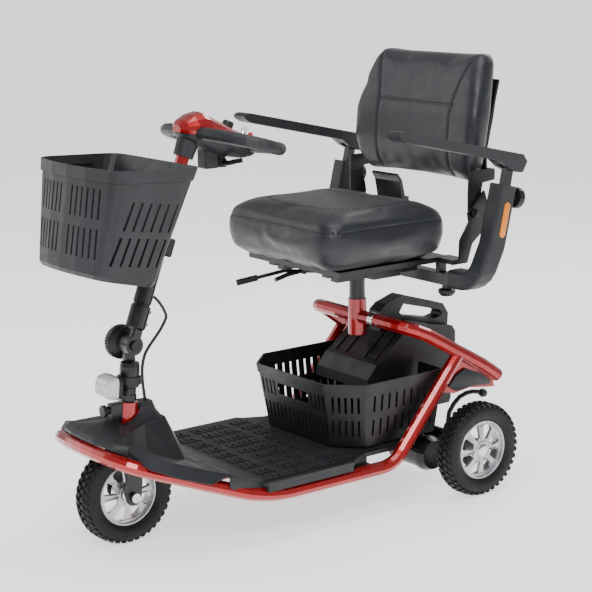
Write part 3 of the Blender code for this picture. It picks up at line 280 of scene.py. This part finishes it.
def finish_piece(obj, body, slot, material=None, smooth=35):
    obj.data.materials.clear()
    obj.data.materials.append(material or LOOKS[slot])
    if obj.type == "MESH":
        obj.data.shade_smooth()
        obj.data.set_sharp_from_angle(angle=math.radians(smooth))
    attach(obj, body)


def add_box(bm, place, size):
    bmesh.ops.create_cube(bm, size=1, matrix=place @ Matrix.Diagonal((*size, 1)))


def bevelled(obj, width, segments=2):
    modifier = obj.modifiers.new("edge", "BEVEL")
    modifier.width = width
    modifier.segments = segments
    modifier.limit_method = "ANGLE"
    modifier.angle_limit = math.radians(40)
    return applied(obj)


def turned(bm, profile, centre, steps):
    """A closed profile of (radius, x) turned round the X axis through centre."""
    rings = []
    for k in range(steps):
        angle = 2 * math.pi * k / steps
        rings.append([bm.verts.new(centre + Vector((x, r * math.cos(angle), r * math.sin(angle))))
                      for r, x in profile])
    count = len(profile)
    for k in range(steps):
        a, b = rings[k], rings[(k + 1) % steps]
        for i in range(count):
            j = (i + 1) % count
            bm.faces.new((a[i], a[j], b[j], b[i]))


# ---------------------------------------------------------------- wheels
def tyre(name, body, node):
    """Tyre with a rounded carcass, staggered centre blocks and shoulder lugs."""
    low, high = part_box(node)
    centre = (low + high) / 2
    outer, half = (high.z - low.z) / 2, (high.x - low.x) / 2
    base = outer - TREAD_DEPTH
    arc = [(base - 0.016 * (1 - math.cos(t)), half * 0.62 + half * 0.36 * math.sin(t))
           for t in (k * math.pi / 16 for k in range(9))]
    wall = [(base - 0.026, half * 0.97), (TYRE_BORE + 0.006, half * 0.88), (TYRE_BORE + 0.003, half * 0.80),
            (TYRE_BORE, half * 0.74)]
    side = [(base, half * 0.3)] + arc + wall
    profile = [(r, x) for r, x in side] + [(r, -x) for r, x in reversed(side)]
    bm = bmesh.new()
    turned(bm, profile, centre, WHEEL_STEPS)
    for k in range(TREAD_BLOCKS):
        angle = 2 * math.pi * k / TREAD_BLOCKS
        for row, (x, lean, wide, deep) in enumerate((
                (0.0075, 0.0, 0.0125, 0.0066), (0.0185, 0.42, 0.0110, 0.0070))):
            for s in (1, -1):
                turn = angle + (math.pi / TREAD_BLOCKS if (s > 0) == (row == 0) else 0)
                drop = 0.0 if row == 0 else 0.0026
                place = (Matrix.Translation(centre) @ Matrix.Rotation(turn, 4, "X")
                         @ Matrix.Translation((s * x, 0, outer - deep / 2 - 0.0003 - drop))
                         @ Matrix.Rotation(s * lean, 4, "Y") @ Matrix.Rotation(s * 0.35, 4, "Z"))
                add_box(bm, place, (wide, 0.0090, deep))
    made = new_object(bm, name)
    bevelled(made, 0.0006, 1)
    finish_piece(made, body, "tyre_rubber")
    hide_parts(node)


def wheel_plate(target, centre, s):
    """Spoked plate: a filled outline with eight windows, dished towards the hub."""
    curve = bpy.data.curves.new("plate", "CURVE")
    curve.dimensions = "2D"
    curve.fill_mode = "BOTH"
    curve.extrude = 0.0035
    curve.bevel_depth = 0.0010
    curve.bevel_resolution = 2

    def ring(points):
        spline = curve.splines.new("POLY")
        spline.points.add(len(points) - 1)
        for place, (u, v) in zip(spline.points, points):
            place.co = (u, v, 0, 1)
        spline.use_cyclic_u = True

    def polar(radius, angle):
        return (radius * math.cos(angle), radius * math.sin(angle))

    ring([polar(PLATE_RADIUS, 2 * math.pi * k / WHEEL_STEPS) for k in range(WHEEL_STEPS)])
    for k in range(SPOKES):
        mid = 2 * math.pi * (k + 0.5) / SPOKES
        window = []
        for r, gap in ((0.0270, 0.0045), (0.0400, 0.0050), (0.0540, 0.0065), (0.0590, 0.0105)):
            window.append((r, math.pi / SPOKES - gap / r))
        edge = [polar(r, mid - w) for r, w in window]
        cap = [polar(0.0600, mid + (j - 3) / 3 * (math.pi / SPOKES - 0.27)) for j in range(7)]
        ring(edge + cap + [polar(r, mid + w) for r, w in reversed(window)])
    obj = bpy.data.objects.new("plate", curve)
    bpy.context.scene.collection.objects.link(obj)
    bpy.context.view_layer.update()
    graph = bpy.context.evaluated_depsgraph_get()
    mesh = bpy.data.meshes.new_from_object(obj.evaluated_get(graph))
    bpy.data.objects.remove(obj)
    for vert in mesh.vertices:
        u, v, w = vert.co
        dish = PLATE_DISH * (1 - (math.hypot(u, v) / PLATE_RADIUS) ** 2)
        vert.co = centre + Vector((s * (PLATE_OUT + w + dish), u, v))
    target.from_mesh(mesh)
    bpy.data.meshes.remove(mesh)


def rim(name, body, node, s):
    """Wheel: barrel with lips, spoked plate, hub with a cap, and four bolts."""
    low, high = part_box(node)
    middle_x = 0.0 if "front" in node else s * REAR_WHEEL_X
    centre = Vector((middle_x, (low.y + high.y) / 2, (low.z + high.z) / 2))
    bm = bmesh.new()
    barrel = [(0.0694, -0.0185), (0.0694, 0.0175), (0.0680, 0.0195), (0.0655, 0.0190), (0.0640, 0.0150),
              (0.0632, 0.0050), (0.0640, -0.0150), (0.0655, -0.0188)]
    turned(bm, [(r, s * x) for r, x in barrel], centre, WHEEL_STEPS)
    wheel_plate(bm, centre, s)
    hub = [(0.0075, -0.0180), (0.0215, -0.0180), (0.0240, 0.0040), (0.0225, 0.0165), (0.0200, 0.0190),
           (0.0075, 0.0195)]
    turned(bm, [(r, s * x) for r, x in hub], centre, 64)
    for k in range(4):
        spin = Matrix.Rotation(math.pi / 2 * k + 0.4, 4, "X")
        place = Matrix.Translation(centre) @ spin @ Matrix.Translation((s * 0.0165, 0, 0.0290))
        bmesh.ops.create_cone(bm, cap_ends=True, segments=6, radius1=0.0032, radius2=0.0032, depth=0.0050,
                              matrix=place @ Matrix.Rotation(math.pi / 2, 4, "Y"))
    made = new_object(bm, name)
    finish_piece(made, body, "rim_silver", smooth=30)
    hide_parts(node)
    bm = bmesh.new()
    cap = [(0.0002, 0.0235), (0.0060, 0.0232), (0.0120, 0.0222), (0.0145, 0.0205), (0.0145, 0.0180),
           (0.0002, 0.0180)]
    turned(bm, [(r, s * x) for r, x in cap], centre, 48)
    cap_piece = new_object(bm, name + "_cap")
    finish_piece(cap_piece, body, "rim_silver", LOOKS["bright_steel"])


def make_wheels():
    tyre("front_tyre_tread", "front_wheel", "front_tyre")
    rim("front_wheel_rim", "front_wheel", "front_rim", 1)
    for side, s in SIDES:
        tyre(f"rear_tyre_tread_{side}", f"rear_wheel_{side}", f"rear_tyre_{side}")
        rim(f"rear_wheel_rim_{side}", f"rear_wheel_{side}", f"rear_rim_{side}", s)


# ---------------------------------------------------------------- cushions
def puffed(obj, limit):
    """Blow the cover up with a short cloth simulation; no point moves further than the cap."""
    scene = bpy.context.scene
    cloth = obj.modifiers.new("cover", "CLOTH")
    cloth.settings.use_pressure = True
    cloth.settings.uniform_pressure_force = 4.0
    cloth.settings.quality = 5
    cloth.settings.mass = 0.3
    cloth.settings.tension_stiffness = 60
    cloth.settings.compression_stiffness = 60
    cloth.settings.bending_stiffness = 8
    cloth.settings.effector_weights.gravity = 0
    cloth.collision_settings.use_collision = False
    cloth.point_cache.frame_start = 1
    cloth.point_cache.frame_end = CLOTH_FRAMES
    scene.frame_start, scene.frame_end = 1, CLOTH_FRAMES
    for number in range(1, CLOTH_FRAMES + 1):
        scene.frame_set(number)
    graph = bpy.context.evaluated_depsgraph_get()
    done = obj.evaluated_get(graph).data
    moved = [vert.co.copy() for vert in done.vertices]
    obj.modifiers.clear()
    scene.frame_set(1)
    for vert, new in zip(obj.data.vertices, moved):
        step = new - vert.co
        if step.length > CUSHION_CAP:
            step *= CUSHION_CAP / step.length
        vert.co = limit(vert.co, vert.co + step)


def groove(obj, path):
    """Pull the cover in along a seam, towards the inside of the pad."""
    normals = [vert.normal.copy() for vert in obj.data.vertices]
    for vert, normal in zip(obj.data.vertices, normals):
        gap = min((vert.co - p).length for p in path)
        if gap < 3 * SEAM_WIDTH:
            vert.co -= normal * SEAM_DEPTH * math.exp(-(gap / SEAM_WIDTH) ** 2)


def on_surface(obj, starts, direction):
    """Points where rays from the starts meet the cover."""
    direction = Vector(direction)
    found = []
    for start in starts:
        hit, place, _normal, _face = obj.ray_cast(Vector(start), direction)
        if hit:
            found.append(place.copy())
    return found


def thread(name, body, path):
    """Sewing thread lying along a seam."""
    curve = bpy.data.curves.new(name, "CURVE")
    curve.dimensions = "3D"
    curve.bevel_depth = THREAD_RADIUS
    curve.bevel_resolution = 2
    curve.use_fill_caps = True
    spline = curve.splines.new("POLY")
    spline.points.add(len(path) - 1)
    for place, point in zip(spline.points, path):
        place.co = (*point, 1)
    made = bpy.data.objects.new(name, curve)
    bpy.context.scene.collection.objects.link(made)
    finish_piece(made, body, "vinyl", THREAD)


def cushion(name, body, node, limit, shrink, seams):
    """A stuffed cover that starts a little inside the CAD solid; seams are (ray starts, ray direction)."""
    source = NODES[node]
    low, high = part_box(node)
    centre = (low + high) / 2
    bm = bmesh.new()
    bm.from_mesh(source.data)
    bmesh.ops.remove_doubles(bm, verts=bm.verts, dist=1e-5)
    for vert in bm.verts:
        for i in range(3):
            share = 1 - shrink / ((high[i] - low[i]) / 2)
            vert.co[i] = centre[i] + (vert.co[i] - centre[i]) * share
    made = new_object(bm, name)
    remesh = made.modifiers.new("voxels", "REMESH")
    remesh.mode = "VOXEL"
    remesh.voxel_size = VOXEL
    applied(made)
    puffed(made, limit)
    relax = made.modifiers.new("relax", "SMOOTH")
    relax.factor = 0.5
    relax.iterations = 12
    fine = made.modifiers.new("fine", "SUBSURF")
    fine.levels = fine.render_levels = 1
    applied(made)
    bpy.context.view_layer.update()
    for path in [on_surface(made, starts, direction) for starts, direction in seams]:
        groove(made, path)
    bpy.context.view_layer.update()
    finish_piece(made, body, "vinyl", smooth=80)
    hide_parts(node)
    for k, (starts, direction) in enumerate(seams):
        thread(f"{name}_seam_{k + 1}", body, on_surface(made, starts, direction))


def seat_pad():
    """Seat cushion: a sewn panel and a cross seam in its top, and a seam along its front and sides."""
    low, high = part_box("seat_cushion")
    top = high.z + 0.05
    panel_x, panel_y, seam_z = 0.146, 0.128, 0.648

    def limit(_before, after):
        after.z = max(after.z, low.z)
        after.x = max(min(after.x, high.x + 0.002), low.x - 0.002)
        after.y = min(after.y, high.y + 0.001)
        return after

    panel = []
    for k in range(73):
        angle = math.pi * k / 36
        su, sv = math.cos(angle), math.sin(angle)
        reach = (abs(su) ** 4 + abs(sv) ** 4) ** -0.25
        panel.append((su * reach * panel_x, (low.y + high.y) / 2 + 0.012 + sv * reach * panel_y, top))
    cross = [(-panel_x + 2 * panel_x * k / 40, high.y - 0.105, top) for k in range(41)]
    front = [(-0.19 + 0.38 * k / 60, low.y - 0.05, seam_z) for k in range(61)]
    sides = [[(s * 0.30, low.y + 0.035 + (high.y - low.y - 0.07) * k / 50, seam_z) for k in range(51)]
             for s in (1, -1)]
    cushion("seat_pad", "seat", "seat_cushion", limit, 0.0015, [
        (panel, (0, 0, -1)), (cross, (0, 0, -1)), (front, (0, 1, 0)),
        (sides[0], (-1, 0, 0)), (sides[1], (1, 0, 0))])


def back_pad():
    """Backrest cushion, with two bowed seams near its sides and one across between them."""
    low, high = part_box("backrest_cushion")
    # below arms_top the cover stays between the backrest's hinge arms
    arms_top, between_arms = 0.757, 0.2085

    def limit(before, after):
        after.y = min(after.y, before.y)
        side = between_arms if after.z < arms_top else high.x + 0.002
        after.x = max(min(after.x, side), -side)
        after.z = min(after.z, high.z)
        return after

    start_y = low.y - 0.08
    seams = []
    for s in (1, -1):
        line = []
        for k in range(61):
            z = high.z - 0.012 - (high.z - low.z - 0.03) * k / 60
            bow = max(0.0, (z - 0.87) / 0.14)
            line.append((s * (0.126 + 0.040 * bow ** 1.7), start_y, z))
        seams.append((line, (0, 1, 0)))
    seams.append(([(-0.128 + 0.256 * k / 50, start_y, 0.895) for k in range(51)], (0, 1, 0)))
    cushion("back_pad", "backrest", "backrest_cushion", limit, 0.0010, seams)


# ---------------------------------------------------------------- deck mat
def deck_mat():
    """Rubber mat with herringbone bars and drain holes between the bars."""
    low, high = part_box("deck_mat")
    base = high.z - 0.0021
    ahead, behind = low.y + 0.012, low.y + 0.232
    half = [(0.184, high.y), (0.184, high.y - 0.147), (0.206, high.y - 0.193), (0.212, high.y - 0.205),
            (0.212, low.y + 0.005), (0.206, low.y)]
    plan = half + [(-x, y) for x, y in reversed(half)]
    bm = bmesh.new()
    face = bm.faces.new([bm.verts.new((x, y, low.z)) for x, y in plan])
    grown = bmesh.ops.extrude_face_region(bm, geom=[face])
    for vert in (v for v in grown["geom"] if isinstance(v, bmesh.types.BMVert)):
        vert.co.z = base
    sheet = new_object(bm, "deck_mat_ribbed")
    holes = bmesh.new()
    bars = bmesh.new()
    rows, columns, pitch = 14, 17, 0.0240
    for row in range(rows):
        y = ahead + (behind - ahead) * (row + 0.5) / rows
        for column in range(columns):
            x = (column - (columns - 1) / 2) * pitch
            lean = 0.50 if column % 2 else -0.50
            if row % 7 != 3:
                place = Matrix.Translation((x, y, high.z - 0.0016)) @ Matrix.Rotation(lean, 4, "Z")
                add_box(bars, place, (0.0200, 0.0056, 0.0031))
            if row % 3 == 1 and column % 2 == 0:
                add_box(holes, Matrix.Translation((x + pitch / 2, y + 0.0080, base)), (0.0100, 0.0048, 0.02))
    cutter = new_object(holes, "drain_cutter")
    cut = sheet.modifiers.new("drains", "BOOLEAN")
    cut.operation = "DIFFERENCE"
    cut.object = cutter
    applied(sheet)
    bpy.data.objects.remove(cutter)
    finish_piece(sheet, "chassis", "deck_rubber", smooth=30)
    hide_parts("deck_mat")
    ribs = new_object(bars, "deck_mat_bars")
    bevelled(ribs, 0.0006, 2)
    finish_piece(ribs, "chassis", "deck_rubber", smooth=40)


# ---------------------------------------------------------------- trim
def capsule(half_u, half_v, steps=10):
    """An upright lozenge with round ends, as (u, v) points."""
    loop = []
    for k in range(2 * steps + 2):
        top = k <= steps
        angle = math.pi * (k if top else k - 1) / steps
        loop.append((half_u * math.cos(angle), half_u * math.sin(angle)
                     + (half_v - half_u if top else half_u - half_v)))
    return loop


def plate_piece(name, body, slot, material, loop, place, thickness, edge=0.0006):
    """A flat plate from an outline of (u, v) points, thickened along w, with soft edges."""
    bm = bmesh.new()
    face = bm.faces.new([bm.verts.new(place @ Vector((u, v, 0))) for u, v in loop])
    bm.normal_update()
    grown = bmesh.ops.extrude_face_region(bm, geom=[face])
    push = (place.to_3x3() @ Vector((0, 0, 1))).normalized() * thickness
    for vert in (v for v in grown["geom"] if isinstance(v, bmesh.types.BMVert)):
        vert.co += push
    made = new_object(bm, name)
    bevelled(made, edge, 2)
    finish_piece(made, body, slot, material)


def side_place(x, y, z, s, lean=0.0):
    """Local (u, v, w) is (Y, Z, outwards) at a point on a side face, leaning back by lean."""
    basis = Matrix(((0, 0, s, x), (1, 0, 0, y), (0, 1, 0, z), (0, 0, 0, 1)))
    return basis @ Matrix.Rotation(-lean, 4, "Z")


def reflectors():
    glow = reflector()
    for side, s in SIDES:
        low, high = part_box(f"arm_bracket_{side}")
        face = high.x if s > 0 else -low.x
        place = side_place(s * (face - 0.0009), 0.4335, 0.648, s, math.radians(13.5))
        plate_piece(f"side_reflector_{side}", f"arm_bracket_{side}", "slate_plastic", glow,
                    capsule(0.0085, 0.0400), place, 0.0016)


def gusset_covers():
    """Grey moulded covers over the frame gussets."""
    outline = [(0.338, 0.262), (0.360, 0.284), (0.390, 0.297), (0.440, 0.276), (0.470, 0.254), (0.466, 0.246),
               (0.410, 0.251), (0.362, 0.247)]
    for side, s in SIDES:
        place = side_place(s * 0.2143, CENTRE_SHIFT, 0.0, s)
        plate_piece(f"gusset_cover_{side}", "chassis", "slate_plastic", LOOKS["slate_plastic"], outline,
                    place, 0.0060, 0.0014)


def deck_skirts():
    """Moulded skirts that close the deck and fairing down to the side rails."""
    front = [(-0.268, 0.146), (-0.268, 0.170), (-0.243, 0.1615), (-0.1875, 0.1465), (-0.168, 0.1420),
             (-0.168, 0.112), (-0.200, 0.114), (-0.240, 0.126)]
    rear = [(0.046, 0.1350), (0.112, 0.1350), (0.112, 0.1100), (0.046, 0.1100)]
    for side, s in SIDES:
        for where, x, outline in (("front", 0.2080, front), ("rear", 0.1950, rear)):
            plate_piece(f"deck_skirt_{where}_{side}", "chassis", "slate_plastic", LOOKS["slate_plastic"],
                        outline, side_place(s * x, CENTRE_SHIFT, 0.0, s), 0.0026)


def frame_band():
    """Plain silver band round the upper tube, to the left of the seat post sleeve."""
    low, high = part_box("seat_post")
    band_x, tube_z = 0.062, 0.4049
    bm = bmesh.new()
    centre = Vector((band_x, (low.y + high.y) / 2, tube_z))
    turned(bm, [(0.0163, -0.0085), (0.0168, -0.0080), (0.0168, 0.0080), (0.0163, 0.0085), (0.0159, 0.0)],
           centre, 64)
    finish_piece(new_object(bm, "frame_band"), "chassis", "bright_steel")


def knob_ribs():
    """Grip ribs round the folding knob."""
    low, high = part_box("fold_knob")
    centre = (low + high) / 2
    outer = (high.z - low.z) / 2
    bm = bmesh.new()
    for k in range(36):
        spin = Matrix.Rotation(2 * math.pi * k / 36, 4, "X")
        place = Matrix.Translation((low.x + 0.0135, centre.y, centre.z)) @ spin
        add_box(bm, place @ Matrix.Translation((0, 0, outer)), (0.0170, 0.0030, 0.0024))
    finish_piece(bevelled(new_object(bm, "fold_knob_ribs"), 0.0004, 2), "fold_knob", "black_plastic")


def hinge_caps():
    """Domed caps on the ends of the backrest hinge pins."""
    for side, s in SIDES:
        bm = bmesh.new()
        centre = Vector((s * 0.2238, HINGE[1], HINGE[2]))
        turned(bm, [(0.0002, s * 0.0038), (0.0070, s * 0.0034), (0.0098, s * 0.0022), (0.0104, 0.0),
                    (0.0002, 0.0)], centre, 32)
        finish_piece(new_object(bm, f"hinge_cap_{side}"), "backrest", "black_plastic")


def back_panel():
    """Moulded panel over the rear of the backrest shell, crowned across, with cut-off corners."""
    rear = [(0.762, 0.4812, 0.150), (0.768, 0.4812, 0.176), (0.785, 0.4815, 0.186), (0.800, 0.4818, 0.188),
            (0.868, 0.4988, 0.188), (0.920, 0.5094, 0.186), (0.938, 0.5135, 0.176), (0.946, 0.5155, 0.150)]
    across = 16
    bm = bmesh.new()
    rows = []
    for z, y, half in rear:
        row = []
        for k in range(across + 1):
            share = 2 * k / across - 1
            crown = 0.0034 * (1 - share ** 6)
            row.append(bm.verts.new((share * half, y + CENTRE_SHIFT + crown - 0.0005, z)))
        rows.append(row)
    for a, b in zip(rows, rows[1:]):
        for k in range(across):
            bm.faces.new((a[k], a[k + 1], b[k + 1], b[k]))
    panel = new_object(bm, "back_panel")
    shell = panel.modifiers.new("shell", "SOLIDIFY")
    shell.thickness = 0.0020
    shell.offset = 0
    applied(panel)
    bevelled(panel, 0.0006, 2)
    finish_piece(panel, "backrest", "black_plastic")


def lamp_leds():
    """Two rows of light-emitting diodes standing in the lamp face."""
    low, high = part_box("headlight_lens")
    bm = bmesh.new()
    for row in (-1, 1):
        for column in range(5):
            place = Matrix.Translation(((column - 2) * 0.0092, low.y + 0.0020,
                                        (low.z + high.z) / 2 + row * 0.0065))
            bmesh.ops.create_uvsphere(bm, u_segments=16, v_segments=10, radius=0.0031, matrix=place)
    finish_piece(new_object(bm, "lamp_leds"), "steering", "bright_steel")


def battery_ribs():
    """Raised ribs down the sloping cover of the battery."""
    foot, top = Vector((0, 0.2379, 0.3085)), Vector((0, 0.3280, 0.3795))
    along = (top - foot).normalized()
    lean = math.atan2(along.z, along.y)
    bm = bmesh.new()
    for x in (-0.072, -0.034, 0.034, 0.072):
        place = Matrix.Translation((foot + top) / 2 + Vector((x, 0, 0))) @ Matrix.Rotation(lean, 4, "X")
        add_box(bm, place, (0.0050, (top - foot).length * 0.86, 0.0044))
    finish_piece(bevelled(new_object(bm, "battery_ribs"), 0.0008, 2), "battery", "black_plastic")


# ---------------------------------------------------------------- stage, light and camera
def stage():
    floor_shade = Shade("floor", Specular_IOR_Level=0.2)
    floor_shade.colour(floor_shade.noise(1.2), (0.86, 0.86, 0.86), (0.90, 0.90, 0.90))
    floor_shade.shader.inputs["Emission Color"].default_value = (1, 1, 1, 1)
    floor_shade.shader.inputs["Emission Strength"].default_value = 1.1
    floor_shade.roughness(floor_shade.noise(6.0), 0.7, 0.8)
    bm = bmesh.new()
    bmesh.ops.create_grid(bm, x_segments=2, y_segments=2, size=FLOOR_HALF_SIZE)
    floor = new_object(bm, "floor")
    floor.data.materials.append(floor_shade.material)

    world = bpy.data.worlds.new("studio")
    world.use_nodes = True
    backdrop = world.node_tree.nodes["Background"]
    backdrop.inputs["Color"].default_value = (1.0, 1.0, 1.0, 1)
    seen = world.node_tree.nodes.new("ShaderNodeLightPath").outputs["Is Camera Ray"]
    strength = world.node_tree.nodes.new("ShaderNodeMapRange")
    strength.inputs["To Min"].default_value = 0.42
    strength.inputs["To Max"].default_value = 2.6
    world.node_tree.links.new(seen, strength.inputs["Value"])
    world.node_tree.links.new(strength.outputs["Result"], backdrop.inputs["Strength"])
    bpy.context.scene.world = world

    aim = Vector((0, 0, 0.45))
    for name, at, size, power in (
            ("key", (2.4, -2.2, 3.0), 1.6, 72), ("fill", (-2.6, -1.8, 2.0), 2.4, 22),
            ("rim", (-1.0, 2.8, 2.6), 1.8, 45), ("top", (0.4, -0.2, 3.4), 2.2, 42)):
        light = bpy.data.lights.new(name, "AREA")
        light.shape = "DISK"
        light.size = size
        light.energy = power
        lamp = bpy.data.objects.new(name, light)
        lamp.location = at
        lamp.rotation_euler = (aim - Vector(at)).to_track_quat("-Z", "Y").to_euler()
        bpy.context.scene.collection.objects.link(lamp)


def camera():
    az, el, roll = CAMERA_AZIMUTH, CAMERA_ELEVATION, CAMERA_ROLL
    back = Vector((math.sin(az) * math.cos(el), -math.cos(az) * math.cos(el), math.sin(el)))
    right = Vector((math.cos(az), math.sin(az), 0))
    up = back.cross(right)
    turned_right = math.cos(roll) * right + math.sin(roll) * up
    turned_up = -math.sin(roll) * right + math.cos(roll) * up
    data = bpy.data.cameras.new("camera")
    data.sensor_width = 36
    data.lens = CAMERA_LENS
    data.clip_start = 0.05
    made = bpy.data.objects.new("camera", data)
    columns = (turned_right, turned_up, back)
    made.matrix_world = Matrix.Translation(CAMERA_AT) @ Matrix(
        [[column[i] for column in columns] for i in range(3)]).to_4x4()
    bpy.context.scene.collection.objects.link(made)
    bpy.context.scene.camera = made


def paint_frame():
    """Give every CAD node the procedural material of its slot."""
    for node, obj in NODES.items():
        obj.data.materials.clear()
        obj.data.materials.append(LOOKS[SLOT_OF[node]])


camera()
stage()
paint_frame()
make_wheels()
deck_mat()
reflectors()
gusset_covers()
deck_skirts()
frame_band()
knob_ribs()
hinge_caps()
lamp_leds()
back_panel()
battery_ribs()
seat_pad()
back_pad()
